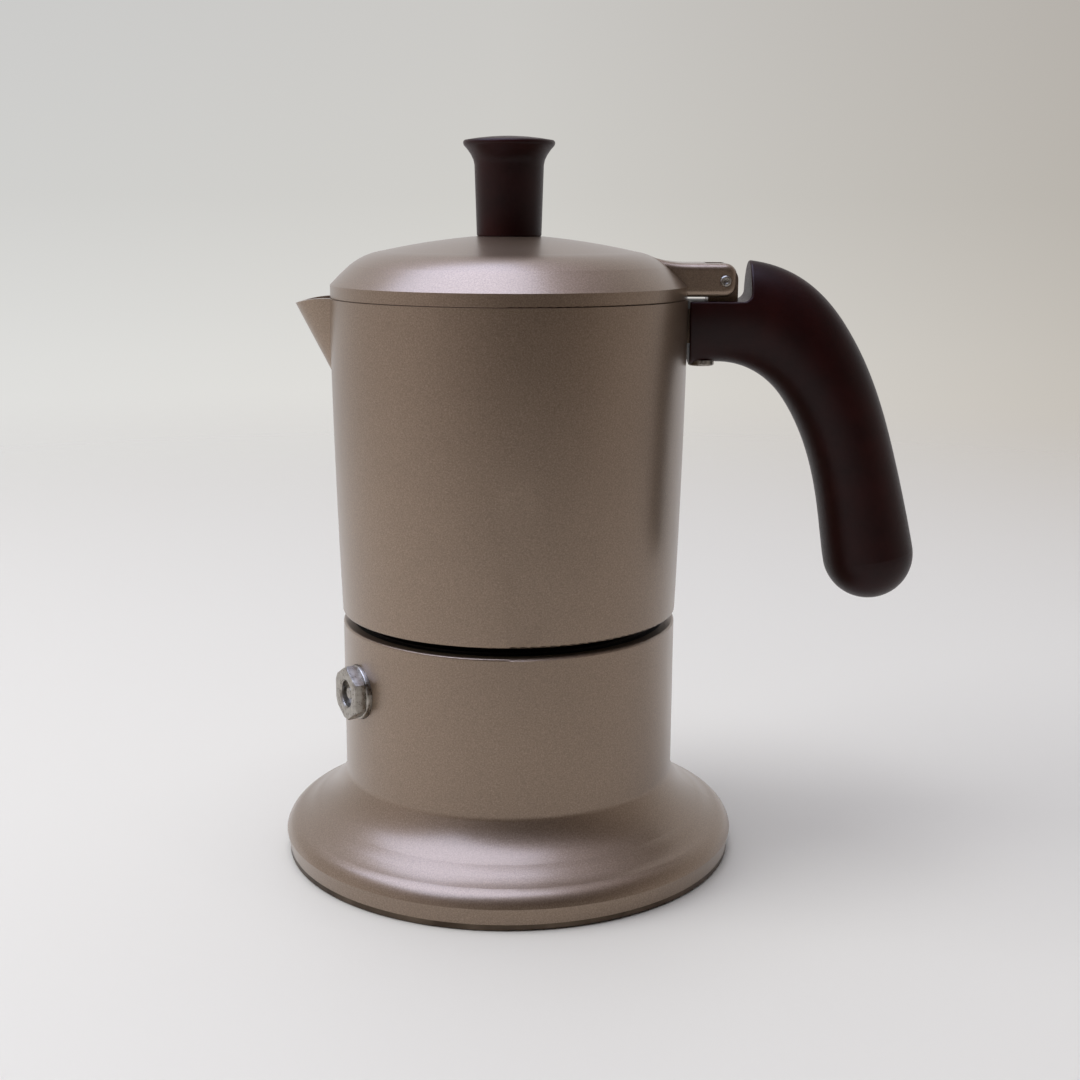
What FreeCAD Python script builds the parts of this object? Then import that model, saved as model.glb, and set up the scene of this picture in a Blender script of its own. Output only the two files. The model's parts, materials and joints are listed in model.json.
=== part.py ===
import FreeCAD, Part

import math
import os
import re

import Sketcher
from FreeCAD import Placement, Rotation, Vector

# Moka pot. The pot's axis is Z and the floor is z = 0, under the middle of the flared base.
# The spout points to -X and the handle to +X. Sizes are in millimetres and degrees.

SIZES = [
    ("Boiler and flared base",
     ("boiler_radius", 39.0), ("boiler_wall", 2.6), ("flare_reach", 14.5), ("foot_undercut", 0.65),
     ("plate_thick", 1.5), ("band_top", 5.2), ("flare_rise", 15.0), ("boiler_floor", 4.5),
     ("rim_level", 56.0), ("rim_round", 0.5), ("neck_step", 3.4), ("neck_wall", 2.6),
     ("neck_rise", 10.5)),
    ("Fits and the gap under the collector",
     ("thread_play", 0.08), ("seat_play", 0.3), ("slide_play", 0.06), ("rim_gap", 2.3)),
    ("Safety valve, whose axis crosses the boiler wall",
     ("valve_drop", 13.4), ("valve_bearing", 209.0), ("hex_across", 11.0), ("hex_thick", 2.5),
     ("collar_radius", 6.2), ("collar_thick", 1.4), ("collar_play", 0.1), ("spot_depth", 0.6),
     ("shank_radius", 4.0), ("shank_inside", 2.8), ("valve_bore", 3.0), ("seat_hole", 1.2),
     ("seat_thick", 1.5), ("pin_head", 2.4), ("pin_head_thick", 1.1), ("pin_stem", 1.4),
     ("pin_sunk", 0.7), ("valve_travel", 1.2), ("ring_thick", 0.8), ("ring_sunk", 1.7),
     ("spring_wire", 0.4), ("spring_turns", 4.0), ("ring_chamfer", 0.4)),
    ("Coffee funnel",
     ("flange_thick", 1.0), ("flange_inset", 1.0), ("basket_slack", 2.4), ("sheet_wall", 0.8),
     ("basket_depth", 20.0), ("cone_drop", 6.0), ("sleeve_length", 6.0), ("stem_radius", 4.6),
     ("stem_gap", 3.0), ("basket_play", 0.1), ("hole_radius", 0.7), ("hole_pitch", 4.8)),
    ("Gasket and filter",
     ("gasket_thick", 3.4), ("gasket_width", 6.3), ("filter_thick", 0.8), ("filter_rise", 1.9)),
    ("Collector",
     ("skirt_proud", 0.1), ("mouth_proud", 1.75), ("pot_height", 72.1), ("side_bulge", 2400.0),
     ("skirt_round", 0.5), ("pot_wall", 2.4), ("pot_floor", 3.0), ("floor_round", 3.0),
     ("column_foot", 6.4), ("column_base", 7.6), ("column_top", 5.0), ("column_bore", 3.6),
     ("column_drop", 13.4), ("outlet_width", 3.2), ("outlet_height", 3.6), ("cap_radius", 5.6),
     ("cap_rise", 2.4), ("cap_plug", 1.8)),
    ("Spout, from its lip down to where it fades into the wall",
     ("spout_out", 8.5), ("spout_drop", 19.0), ("spout_long", 15.0), ("spout_wide", 8.6),
     ("spout_wall", 1.9), ("spout_droop", 1.6)),
    ("Lid",
     ("lid_inset", 0.25), ("lid_band", 2.9), ("lid_rise", 13.7), ("lid_wall", 2.0),
     ("lip_drop", 2.0), ("lip_play", 0.8), ("lip_wall", 1.3), ("knob_seat", 7.6)),
    ("Hinge",
     ("hinge_out", 7.75), ("hinge_rise", 4.15), ("hinge_pin_radius", 1.25), ("lug_radius", 3.4),
     ("lug_width", 5.8), ("lug_play", 0.2), ("arm_width", 14.0), ("arm_below", 3.6),
     ("arm_above", 3.85), ("arm_end", 2.6), ("arm_round", 2.6), ("arm_flow", 2.0),
     ("arm_edge", 1.5), ("slot_clear", 0.5), ("pin_proud", 0.3)),
    ("Lid knob and its screw",
     ("knob_foot", 7.3), ("knob_neck", 7.8), ("knob_rim", 10.3), ("knob_flare", 15.7),
     ("knob_height", 22.0), ("knob_edge", 0.5), ("knob_dome", 0.9), ("screw_radius", 2.0),
     ("screw_grip", 14.0), ("screw_head", 3.8), ("screw_head_thick", 2.4), ("washer_radius", 6.0),
     ("washer_thick", 0.8), ("hole_play", 0.1)),
    ("Handle mounting",
     ("handle_gap", 0.45), ("notch_drop", 0.45), ("notch_out", 13.8), ("notch_round", 2.0),
     ("handle_inset", 3.0), ("toe_drop", 2.0), ("handle_edge", 0.45), ("boss_out", 6.75),
     ("boss_width", 8.4), ("boss_height", 7.7), ("boss_drop", 2.2), ("bolt_out", 3.45),
     ("bolt_head", 3.0), ("bolt_head_thick", 1.3), ("bolt_sunk", 0.2), ("bolt_depth", 6.0)),
    ("Handle, by stations along its middle line",
     ("grip_1_out", 9.25), ("grip_1_drop", 2.8), ("grip_1_tilt", 2.0), ("grip_1_deep", 11.7),
     ("grip_1_wide", 7.4), ("grip_2_out", 18.85), ("grip_2_drop", 4.95), ("grip_2_tilt", 20.0),
     ("grip_2_deep", 11.9), ("grip_2_wide", 7.9), ("grip_3_out", 29.45), ("grip_3_drop", 14.5),
     ("grip_3_tilt", 51.0), ("grip_3_deep", 10.6), ("grip_3_wide", 9.0), ("grip_4_out", 38.25),
     ("grip_4_drop", 33.5), ("grip_4_tilt", 71.0), ("grip_4_deep", 9.7), ("grip_4_wide", 9.6),
     ("grip_5_out", 42.55), ("grip_5_drop", 51.4), ("grip_5_tilt", 78.0), ("grip_5_deep", 10.2),
     ("grip_5_wide", 10.1), ("grip_6_out", 44.15), ("grip_6_drop", 59.7), ("grip_6_tilt", 80.0),
     ("grip_6_deep", 10.5)),
]

# Levels and radii that follow from the sizes above.
DERIVED = {
    "foot_radius": "boiler_radius + flare_reach",
    "flare_top": "band_top + flare_rise",
    "boiler_inside": "boiler_radius - boiler_wall",
    "floor_level": "plate_thick + boiler_floor",
    "neck_radius": "boiler_radius - neck_step",
    "neck_top": "rim_level + neck_rise",
    "neck_bore": "neck_radius - neck_wall",
    "valve_level": "rim_level - valve_drop",
    "spot_face": "boiler_radius - spot_depth",
    "hex_foot": "spot_face + collar_thick",
    "hex_face": "hex_foot + hex_thick",
    "shank_end": "boiler_inside - shank_inside",
    "seat_face": "shank_end + seat_thick",
    "ring_face": "hex_face - ring_sunk",
    "flange_radius": "neck_radius - flange_inset",
    "flange_top": "neck_top + flange_thick",
    "basket_radius": "neck_bore - basket_slack",
    "basket_bore": "basket_radius - sheet_wall",
    "basket_floor": "neck_top - basket_depth",
    "cone_neck": "basket_floor - cone_drop",
    "stem_bore": "stem_radius - sheet_wall",
    "stem_foot": "floor_level + stem_gap",
    "gasket_bore": "flange_radius - gasket_width",
    "filter_radius": "gasket_bore - seat_play",
    "seat_level": "flange_top + gasket_thick",
    "seat_bore": "flange_radius + seat_play",
    "skirt_level": "rim_level + rim_gap",
    "skirt_radius": "boiler_radius + skirt_proud",
    "skirt_bore": "neck_radius + thread_play",
    "pot_floor_top": "seat_level + pot_floor",
    "mouth_radius": "boiler_radius + mouth_proud",
    "mouth_level": "skirt_level + pot_height",
    "mouth_bore": "mouth_radius - pot_wall",
    "column_level": "mouth_level - column_drop",
    "spout_reach": "mouth_radius + spout_out",
    "lid_radius": "mouth_radius - lid_inset",
    "lid_edge": "mouth_level + lid_band",
    "lid_top": "mouth_level + lid_rise",
    "lid_ceiling": "lid_top - lid_wall",
    "lip_radius": "mouth_bore - lip_play",
    "lip_bore": "lip_radius - lip_wall",
    "hinge_reach": "mouth_radius + hinge_out",
    "hinge_level": "mouth_level + hinge_rise",
    "arm_tip": "hinge_reach + arm_end",
    "handle_start": "mouth_radius - handle_inset",
    "notch_level": "mouth_level - notch_drop",
    "notch_end": "mouth_radius + notch_out",
    "boss_reach": "mouth_radius + boss_out",
    "boss_top": "mouth_level - boss_drop",
    "boss_bottom": "boss_top - boss_height",
    "bolt_reach": "mouth_radius + bolt_out",
}
for station in range(1, 7):
    DERIVED["grip_%d_x" % station] = "mouth_radius + grip_%d_out" % station
    DERIVED["grip_%d_z" % station] = "mouth_level - grip_%d_drop" % station


# ---------------------------------------------------------------- document and expressions

doc = FreeCAD.newDocument("moka_pot")
sheet = doc.addObject("Spreadsheet::Sheet", "Sizes")


def fill_sheet():
    """Write each group's title, names and values down the sheet, with an alias for each value."""
    row = 1
    for title, *cells in SIZES:
        sheet.set("A%d" % row, title)
        row += 1
        for alias, value in cells:
            sheet.set("A%d" % row, alias)
            sheet.set("B%d" % row, str(value))
            sheet.setAlias("B%d" % row, alias)
            row += 1
    doc.recompute()


fill_sheet()
ALIASES = {alias for _, *cells in SIZES for alias, _ in cells}


def bound(text):
    """Turn size names in a formula into references to the sheet's cells."""
    def swap(match):
        word = match.group(0)
        if word in DERIVED:
            return "(" + bound(DERIVED[word]) + ")"
        return "Sizes." + word if word in ALIASES else word
    return re.sub(r"[a-z][a-z0-9_]*", swap, text)


def number(text):
    """The present value of a formula over the sizes."""
    return float(sheet.evalExpression(bound(text)))


def bind(thing, **formulas):
    """Bind an object's properties to formulas over the sizes."""
    for name, text in formulas.items():
        thing.setExpression(name, bound(text))
    return thing


# ---------------------------------------------------------------- sketches

def dome_radius(half, rise):
    """The radius of a dome of that half width and rise, whose centre is on the axis."""
    return "((%s) ^ 2 + (%s) ^ 2) / (2 * (%s))" % (half, rise, rise)


def arc_between(start, end, radius):
    """A short arc from start to end; a positive radius bends it to the left."""
    chord = end - start
    lift = math.sqrt(radius * radius - chord.Length ** 2 / 4) / chord.Length
    side = 1 if radius > 0 else -1
    centre = (start + end) * 0.5 + Vector(-chord.y, chord.x, 0) * (side * lift)
    first, last = (start, end) if radius > 0 else (end, start)
    angles = [math.atan2(p.y - centre.y, p.x - centre.x) for p in (first, last)]
    if angles[1] < angles[0]:
        angles[1] += 2 * math.pi
    circle = Part.Circle(centre, Vector(0, 0, 1), abs(radius))
    return Part.ArcOfCircle(circle, angles[0], angles[1])


def tie(sketch, kind, value, *where):
    """Add a dimension to the sketch and bind it to a formula."""
    amount = number(value)
    if kind != "Radius" and abs(amount) < 1e-9:
        axis = -2 if kind == "DistanceX" else -1
        sketch.addConstraint(Sketcher.Constraint("PointOnObject", where[-2], where[-1], axis))
        return
    index = sketch.addConstraint(Sketcher.Constraint(kind, *where, amount))
    sketch.setExpression("Constraints[%d]" % index, bound(value))


def draw(sketch, path):
    """Close a path of corners on the sketch, each corner tied to the sheet.

    A corner is (across, up) for a straight run that ends there, or (across, up, radius) for
    an arc that ends there, whose radius is positive where the path bends left.
    """
    corners = [Vector(number(corner[0]), number(corner[1]), 0) for corner in path]
    ends = []
    for index, corner in enumerate(path):
        start, end = corners[index - 1], corners[index]
        radius = number(corner[2]) if len(corner) == 3 else 0
        line = arc_between(start, end, radius) if radius else Part.LineSegment(start, end)
        edge = sketch.addGeometry(line, False)
        ends.append((edge, (2, 1) if radius < 0 else (1, 2)))
    for index, corner in enumerate(path):
        edge, (_, finish) = ends[index]
        after, (begin, _) = ends[(index + 1) % len(path)]
        sketch.addConstraint(Sketcher.Constraint("Coincident", edge, finish, after, begin))
        tie(sketch, "DistanceX", corner[0], -1, 1, edge, finish)
        tie(sketch, "DistanceY", corner[1], -1, 1, edge, finish)
        if len(corner) == 3:
            radius = corner[2] if number(corner[2]) > 0 else "-(%s)" % corner[2]
            tie(sketch, "Radius", radius, edge)


def plane(body, role):
    """The body's own origin plane of that role."""
    return next(item for item in body.Origin.OriginFeatures if item.Role == role)


def sketch_in(body, name, role, level="0"):
    """A sketch attached to the body's own plane, raised to a level."""
    sketch = body.newObject("Sketcher::SketchObject", name)
    sketch.AttachmentSupport = (plane(body, role), [""])
    sketch.MapMode = "FlatFace"
    sketch.AttachmentOffset = Placement(Vector(0, 0, number(level)), Rotation())
    return sketch


# ---------------------------------------------------------------- features

parts = {}


def finish(name, thing):
    """Name a sub-part, which is written under that name."""
    thing.Label = name
    parts[name] = thing
    return thing


def turned(name, path):
    """A body turned about Z from its half section."""
    body = doc.addObject("PartDesign::Body", name)
    sketch = sketch_in(body, name + "_section", "XZ_Plane")
    draw(sketch, path)
    turn = body.newObject("PartDesign::Revolution", name + "_turn")
    turn.Profile = sketch
    turn.ReferenceAxis = (sketch, ["V_Axis"])
    turn.Angle = 360
    doc.recompute()
    return body


def pierced(body, level, depth, rings):
    """Pierce a turned disc with a centre hole and rings of holes, each ring six holes more."""
    for ring in range(rings + 1):
        name = "%s_ring_%d" % (body.Name, ring)
        sketch = sketch_in(body, name, "XY_Plane", level)
        circle = Part.Circle(Vector(number("hole_pitch") * ring, 0, 0), Vector(0, 0, 1),
                             number("hole_radius"))
        edge = sketch.addGeometry(circle, False)
        tie(sketch, "Radius", "hole_radius", edge)
        tie(sketch, "DistanceX", "hole_pitch * %d" % ring, -1, 1, edge, 3)
        tie(sketch, "DistanceY", "0", -1, 1, edge, 3)
        pocket = body.newObject("PartDesign::Pocket", name + "_cut")
        pocket.Profile = sketch
        bind(pocket, Length=depth)
        doc.recompute()
        if ring:
            pattern = body.newObject("PartDesign::PolarPattern", name + "_round")
            pattern.Originals = [pocket]
            pattern.Axis = (sketch, ["N_Axis"])
            pattern.Angle = 360
            pattern.Occurrences = 6 * ring
            body.Tip = pattern
            doc.recompute()
    return body


def primitive(kind, name, place=None, **formulas):
    """A Part primitive with its sizes bound; place gives its x, y and z as formulas."""
    thing = bind(doc.addObject("Part::" + kind, name), **formulas)
    if place:
        for axis, text in zip("xyz", place):
            thing.setExpression("Placement.Base." + axis, bound(text))
    return thing


def block(name, low, high):
    """A box between two corners."""
    spans = ["(%s) - (%s)" % pair for pair in zip(high, low)]
    return primitive("Box", name, low, Length=spans[0], Width=spans[1], Height=spans[2])


def joined(name, *things):
    """One solid from several."""
    fuse = doc.addObject("Part::MultiFuse", name)
    fuse.Shapes = list(things)
    fuse.Refine = True
    return fuse


def less(name, base, *tools):
    """The base with each tool cut away in turn."""
    for index, tool in enumerate(tools):
        last = index == len(tools) - 1
        cut = doc.addObject("Part::Cut", name if last else "%s_cut_%d" % (name, index))
        cut.Base = base
        cut.Tool = tool
        cut.Refine = True
        base = cut
    return base


def slab(name, path, width):
    """A closed outline in the XZ plane, given a width evenly about the pot's middle plane."""
    body = doc.addObject("PartDesign::Body", name)
    sketch = sketch_in(body, name + "_outline", "XZ_Plane", "-(%s) / 2" % width)
    draw(sketch, path)
    pad = body.newObject("PartDesign::Pad", name + "_pad")
    pad.Profile = sketch
    bind(pad, Length=width)
    doc.recompute()
    return body


def softened(name, base, radius, chosen):
    """The base with those edges rounded whose middle point is chosen."""
    doc.recompute()
    edges = []
    for index, edge in enumerate(base.Shape.Edges):
        middle = edge.valueAt((edge.FirstParameter + edge.LastParameter) / 2)
        if chosen(middle):
            edges.append(index + 1)
    fillet = doc.addObject("Part::Fillet", name)
    fillet.Base = base
    fillet.Edges = [(edge, number(radius), number(radius)) for edge in edges]
    doc.recompute()
    return fillet


def crosswise_rod(name, radius, width, reach, level):
    """A rod along Y, evenly about the pot's middle plane."""
    rod = primitive("Cylinder", name, (reach, "(%s) / 2" % width, level), Radius=radius, Height=width)
    rod.Placement.Rotation = Rotation(Vector(1, 0, 0), 90)
    return rod


def lofted(name, sections):
    """A solid through closed sections."""
    loft = doc.addObject("Part::Loft", name)
    loft.Sections = sections
    loft.Solid = True
    loft.Ruled = False
    return loft


def on_valve_axis(thing):
    """Turn a piece modelled about Z so that its Z points out along the valve's axis."""
    out = Rotation(Vector(0, 0, 1), number("valve_bearing")) * Rotation(Vector(0, 1, 0), 90)
    thing.Placement = Placement(Vector(0, 0, number("valve_level")), out)
    return thing


# ---------------------------------------------------------------- boiler

def make_boiler():
    """Casting with a flared foot, an S-shaped shoulder, a plain wall and a neck for the thread."""
    casting = turned("boiler_casting", [
        ("0", "plate_thick"),
        ("foot_radius - foot_undercut", "plate_thick"),
        ("foot_radius", "band_top"),
        ("foot_radius - 0.2 * flare_reach", "band_top + 0.233 * flare_rise", "0.34 * flare_reach"),
        ("foot_radius - 0.386 * flare_reach", "band_top + 0.327 * flare_rise", "-0.8 * flare_reach"),
        ("foot_radius - 0.566 * flare_reach", "band_top + 0.44 * flare_rise", "1.5 * flare_reach"),
        ("foot_radius - 0.985 * flare_reach", "band_top + 0.933 * flare_rise", "-1.04 * flare_reach"),
        ("boiler_radius", "flare_top", "-0.2 * flare_reach"),
        ("boiler_radius", "rim_level - rim_round"),
        ("boiler_radius - rim_round", "rim_level", "rim_round"),
        ("neck_radius", "rim_level"),
        ("neck_radius", "neck_top"),
        ("neck_bore", "neck_top"),
        ("neck_bore", "rim_level - boiler_wall"),
        ("boiler_inside", "rim_level - 3 * boiler_wall"),
        ("boiler_inside", "flare_top - 0.05 * flare_rise"),
        ("foot_radius - 0.566 * flare_reach - boiler_wall",
         "band_top + 0.44 * flare_rise - boiler_wall"),
        ("foot_radius - 0.386 * flare_reach - boiler_wall",
         "band_top + 0.327 * flare_rise - boiler_wall"),
        ("foot_radius - 0.386 * flare_reach - boiler_wall", "floor_level"),
        ("0", "floor_level"),
    ])
    hole = on_valve_axis(turned("valve_hole", [
        ("0", "0.9 * boiler_inside"),
        ("shank_radius", "0.9 * boiler_inside"),
        ("shank_radius", "spot_face"),
        ("collar_radius + collar_play", "spot_face"),
        ("collar_radius + collar_play", "boiler_radius + collar_radius"),
        ("0", "boiler_radius + collar_radius"),
    ]))
    finish("boiler_shell", less("boiler_shell", casting, hole))
    finish("base_plate", turned("base_plate", [
        ("0", "0"),
        ("foot_radius - foot_undercut - plate_thick / 3", "0"),
        ("foot_radius - foot_undercut", "plate_thick / 3", "plate_thick / 3"),
        ("foot_radius - foot_undercut", "plate_thick"),
        ("0", "plate_thick"),
    ]))


def make_valve():
    """Pressure relief valve: collar, hollow hex body, poppet pin, spring and retaining ring."""
    finish("valve_collar", on_valve_axis(turned("valve_collar", [
        ("shank_radius", "spot_face"),
        ("collar_radius", "spot_face"),
        ("collar_radius", "hex_foot - collar_thick / 3"),
        ("collar_radius - collar_thick / 3", "hex_foot", "collar_thick / 3"),
        ("shank_radius", "hex_foot"),
    ])))
    prism = primitive("Prism", "hex_bar", ("0", "0", "hex_foot"),
                      Circumradius="hex_across / sqrt(3)", Height="hex_thick")
    prism.Polygon = 6
    form = turned("hex_form", [
        ("0", "hex_foot"),
        ("hex_across * 0.52", "hex_foot"),
        ("hex_across * 0.6", "hex_foot + hex_across * 0.04"),
        ("hex_across * 0.6", "hex_face - hex_across * 0.06"),
        ("hex_across * 0.48", "hex_face"),
        ("0", "hex_face"),
    ])
    head = doc.addObject("Part::Common", "hex_head")
    head.Base = prism
    head.Tool = form
    shank = primitive("Cylinder", "valve_shank", ("0", "0", "shank_end"),
                      Radius="shank_radius", Height="hex_foot - shank_end")
    bore = turned("valve_bores", [
        ("0", "shank_end - seat_thick"),
        ("seat_hole", "shank_end - seat_thick"),
        ("seat_hole", "seat_face"),
        ("valve_bore", "seat_face"),
        ("valve_bore", "hex_face - ring_chamfer"),
        ("valve_bore + ring_chamfer", "hex_face"),
        ("valve_bore + ring_chamfer", "hex_face + 1"),
        ("0", "hex_face + 1"),
    ])
    finish("valve_body", on_valve_axis(less("valve_body", joined("valve_blank", head, shank), bore)))
    finish("valve_pin", on_valve_axis(turned("valve_pin", [
        ("0", "seat_face"),
        ("pin_head", "seat_face"),
        ("pin_head", "seat_face + pin_head_thick"),
        ("pin_stem", "seat_face + pin_head_thick"),
        ("pin_stem", "hex_face - pin_sunk - pin_stem / 4"),
        ("pin_stem * 0.75", "hex_face - pin_sunk", "pin_stem / 4"),
        ("0", "hex_face - pin_sunk"),
    ])))
    finish("valve_ring", on_valve_axis(turned("valve_ring", [
        ("pin_stem + slide_play", "ring_face - ring_thick"),
        ("valve_bore", "ring_face - ring_thick"),
        ("valve_bore", "ring_face"),
        ("pin_stem + slide_play", "ring_face"),
    ])))
    make_spring()


def make_spring():
    """Open coil between the pin's head and the retaining ring."""
    low = "seat_face + pin_head_thick + spring_wire / 2"
    length = "ring_face - ring_thick - spring_wire - seat_face - pin_head_thick"
    middle = "(pin_stem + valve_bore) / 2"
    coil = bind(doc.addObject("Part::Helix", "spring_line"), Radius=middle, Height=length,
                Pitch="(%s) / spring_turns" % length, SegmentLength="1 / 2")
    wire = primitive("Circle", "spring_wire_section", (middle, "0", "0"), Radius="spring_wire / 2")
    wire.Placement.Rotation = Rotation(Vector(1, 0, 0), 90)
    spring = doc.addObject("Part::Sweep", "valve_spring")
    spring.Sections = [wire]
    doc.recompute()
    spring.Spine = (coil, ["Edge%d" % (index + 1) for index in range(len(coil.Shape.Edges))])
    spring.Solid = True
    spring.Frenet = True
    doc.recompute()
    on_valve_axis(spring)
    out = spring.Placement.Rotation.multVec(Vector(0, 0, number(low)))
    spring.Placement.Base = spring.Placement.Base + out
    finish("valve_spring", spring)


# ---------------------------------------------------------------- funnel, gasket and filter

def make_funnel():
    """Basket that hangs by its flange on the boiler's neck, its perforated floor and its stem."""
    finish("funnel_basket", turned("funnel_basket", [
        ("stem_radius", "cone_neck - sleeve_length"),
        ("stem_radius + sheet_wall", "cone_neck - sleeve_length"),
        ("stem_radius + sheet_wall", "cone_neck - sheet_wall"),
        ("basket_radius", "basket_floor - sheet_wall"),
        ("basket_radius", "neck_top"),
        ("flange_radius", "neck_top"),
        ("flange_radius", "flange_top"),
        ("basket_bore", "flange_top"),
        ("basket_bore", "basket_floor"),
        ("basket_bore - sheet_wall", "basket_floor"),
        ("stem_radius", "cone_neck + sheet_wall / 2"),
    ]))
    finish("funnel_stem", turned("funnel_stem", [
        ("stem_bore", "stem_foot"),
        ("stem_radius", "stem_foot"),
        ("stem_radius", "cone_neck"),
        ("stem_bore", "cone_neck"),
    ]))
    floor = turned("basket_plate", [
        ("0", "basket_floor"),
        ("basket_bore - basket_play", "basket_floor"),
        ("basket_bore - basket_play", "basket_floor + sheet_wall"),
        ("0", "basket_floor + sheet_wall"),
    ])
    finish("basket_plate", pierced(floor, "basket_floor + sheet_wall", "sheet_wall", 5))


def make_seal():
    """Rubber gasket under the collector's floor, and the filter plate inside it."""
    finish("boiler_gasket", turned("boiler_gasket", [
        ("gasket_bore", "flange_top"),
        ("flange_radius - seat_play", "flange_top"),
        ("flange_radius", "flange_top + seat_play", "seat_play"),
        ("flange_radius", "seat_level - seat_play"),
        ("flange_radius - seat_play", "seat_level", "seat_play"),
        ("gasket_bore", "seat_level"),
    ]))
    plate_top = "seat_level - filter_rise + filter_thick"
    plate = turned("filter_plate", [
        ("0", "seat_level - filter_rise"),
        ("filter_radius", "seat_level - filter_rise"),
        ("filter_radius", "seat_level"),
        ("filter_radius - filter_thick", "seat_level"),
        ("filter_radius - filter_thick", plate_top),
        ("0", plate_top),
    ])
    finish("filter_plate", pierced(plate, plate_top, "filter_thick", 5))


# ---------------------------------------------------------------- collector

def spout_section(name, share, inset, raise_by="0"):
    """One oval of the spout; share is 0 at the lip and 1 where the spout fades into the wall."""
    fade = "(spout_reach - mouth_radius + 1.2) * %s" % share
    oval = primitive("Ellipse", name, (
        "-(spout_reach - %s - spout_long)" % fade, "0",
        "mouth_level - spout_drop * %s + %s" % (share, raise_by)),
        MajorRadius="spout_long - (%s)" % inset,
        MinorRadius="spout_wide * (1 - 0.25 * %s) - (%s)" % (share, inset))
    return oval


def make_pot():
    """Collector: tapered barrel, threaded skirt, gasket seat, spout, handle boss and hinge lug."""
    barrel = turned("pot_barrel", [
        ("0", "skirt_level"),
        ("skirt_radius - skirt_round", "skirt_level"),
        ("skirt_radius", "skirt_level + skirt_round", "skirt_round"),
        ("mouth_radius", "mouth_level", "side_bulge"),
        ("0", "mouth_level"),
    ])
    cavity = turned("pot_cavity", [
        ("0", "pot_floor_top"),
        ("skirt_radius - pot_wall - floor_round", "pot_floor_top"),
        ("skirt_radius - pot_wall", "pot_floor_top + floor_round", "floor_round"),
        ("mouth_bore", "mouth_level"),
        ("mouth_bore", "mouth_level + pot_wall"),
        ("0", "mouth_level + pot_wall"),
    ])
    socket = turned("pot_socket", [
        ("0", "skirt_level - rim_gap"),
        ("skirt_bore", "skirt_level - rim_gap"),
        ("skirt_bore", "neck_top + flange_thick / 4"),
        ("seat_bore", "neck_top + flange_thick / 2"),
        ("seat_bore", "seat_level"),
        ("column_foot", "seat_level"),
        ("column_foot", "pot_floor_top + pot_floor"),
        ("0", "pot_floor_top + pot_floor"),
    ])
    shares = (0.0, 0.25, 0.5, 0.75, 1.0)
    outside = [spout_section("spout_oval_%d" % i, share, "0") for i, share in enumerate(shares)]
    inside = [spout_section("channel_oval_%d" % i, share, "spout_wall", "spout_wall * (1 - %s)" % share)
              for i, share in enumerate(shares[:4])]
    spout = lofted("spout_outside", outside)
    channel = lofted("spout_channel", inside)
    boss = block("handle_boss", ("mouth_bore", "-boss_width / 2", "boss_bottom"),
                 ("boss_reach", "boss_width / 2", "boss_top"))
    post = block("lug_post", ("hinge_reach - lug_radius", "-lug_width / 2", "boss_top - lug_width"),
                 ("hinge_reach + lug_radius", "lug_width / 2", "hinge_level"))
    knuckle = crosswise_rod("lug_knuckle", "lug_radius", "lug_width", "hinge_reach", "hinge_level")
    pin_hole = crosswise_rod("lug_hole", "hinge_pin_radius", "arm_width", "hinge_reach", "hinge_level")
    bolt_hole = primitive("Cylinder", "boss_hole", ("bolt_reach", "0", "boss_bottom - 1"),
                          Radius="screw_radius", Height="bolt_depth + 1")
    run = "(spout_reach - mouth_radius)"
    droop = slab("spout_droop_cut", [
        ("-mouth_radius", "mouth_level"),
        ("-spout_reach", "mouth_level - spout_droop",
         "(%s ^ 2 + spout_droop ^ 2) / (2 * spout_droop)" % run),
        ("-spout_reach - 5", "mouth_level - spout_droop - 5"),
        ("-spout_reach - 5", "mouth_level + 5"),
        ("-mouth_radius", "mouth_level + 5"),
    ], "4 * spout_wide")
    blank = joined("pot_blank", barrel, spout, boss, post, knuckle)
    finish("upper_pot", less("upper_pot", blank, cavity, socket, channel, droop, pin_hole, bolt_hole))


def make_column():
    """Riser tube pressed into the collector's floor, with two outlets under a domed cap."""
    tube = turned("column_tube", [
        ("column_bore", "seat_level"),
        ("column_foot", "seat_level"),
        ("column_foot", "pot_floor_top"),
        ("column_base", "pot_floor_top"),
        ("column_top", "column_level"),
        ("column_bore", "column_level"),
    ])
    slot_top = "column_level - cap_plug - outlet_width / 2"
    outlets = block("column_outlets", ("-outlet_width / 2", "-column_base", slot_top + " - outlet_height"),
                    ("outlet_width / 2", "column_base", slot_top))
    finish("riser_column", less("riser_column", tube, outlets))
    finish("column_cap", turned("column_cap", [
        ("0", "column_level - cap_plug"),
        ("column_bore", "column_level - cap_plug"),
        ("column_bore", "column_level"),
        ("cap_radius", "column_level"),
        ("cap_radius", "column_level + cap_rise / 4"),
        ("0", "column_level + cap_rise", dome_radius("cap_radius", "0.75 * cap_rise")),
    ]))


# ---------------------------------------------------------------- lid and hinge

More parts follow.
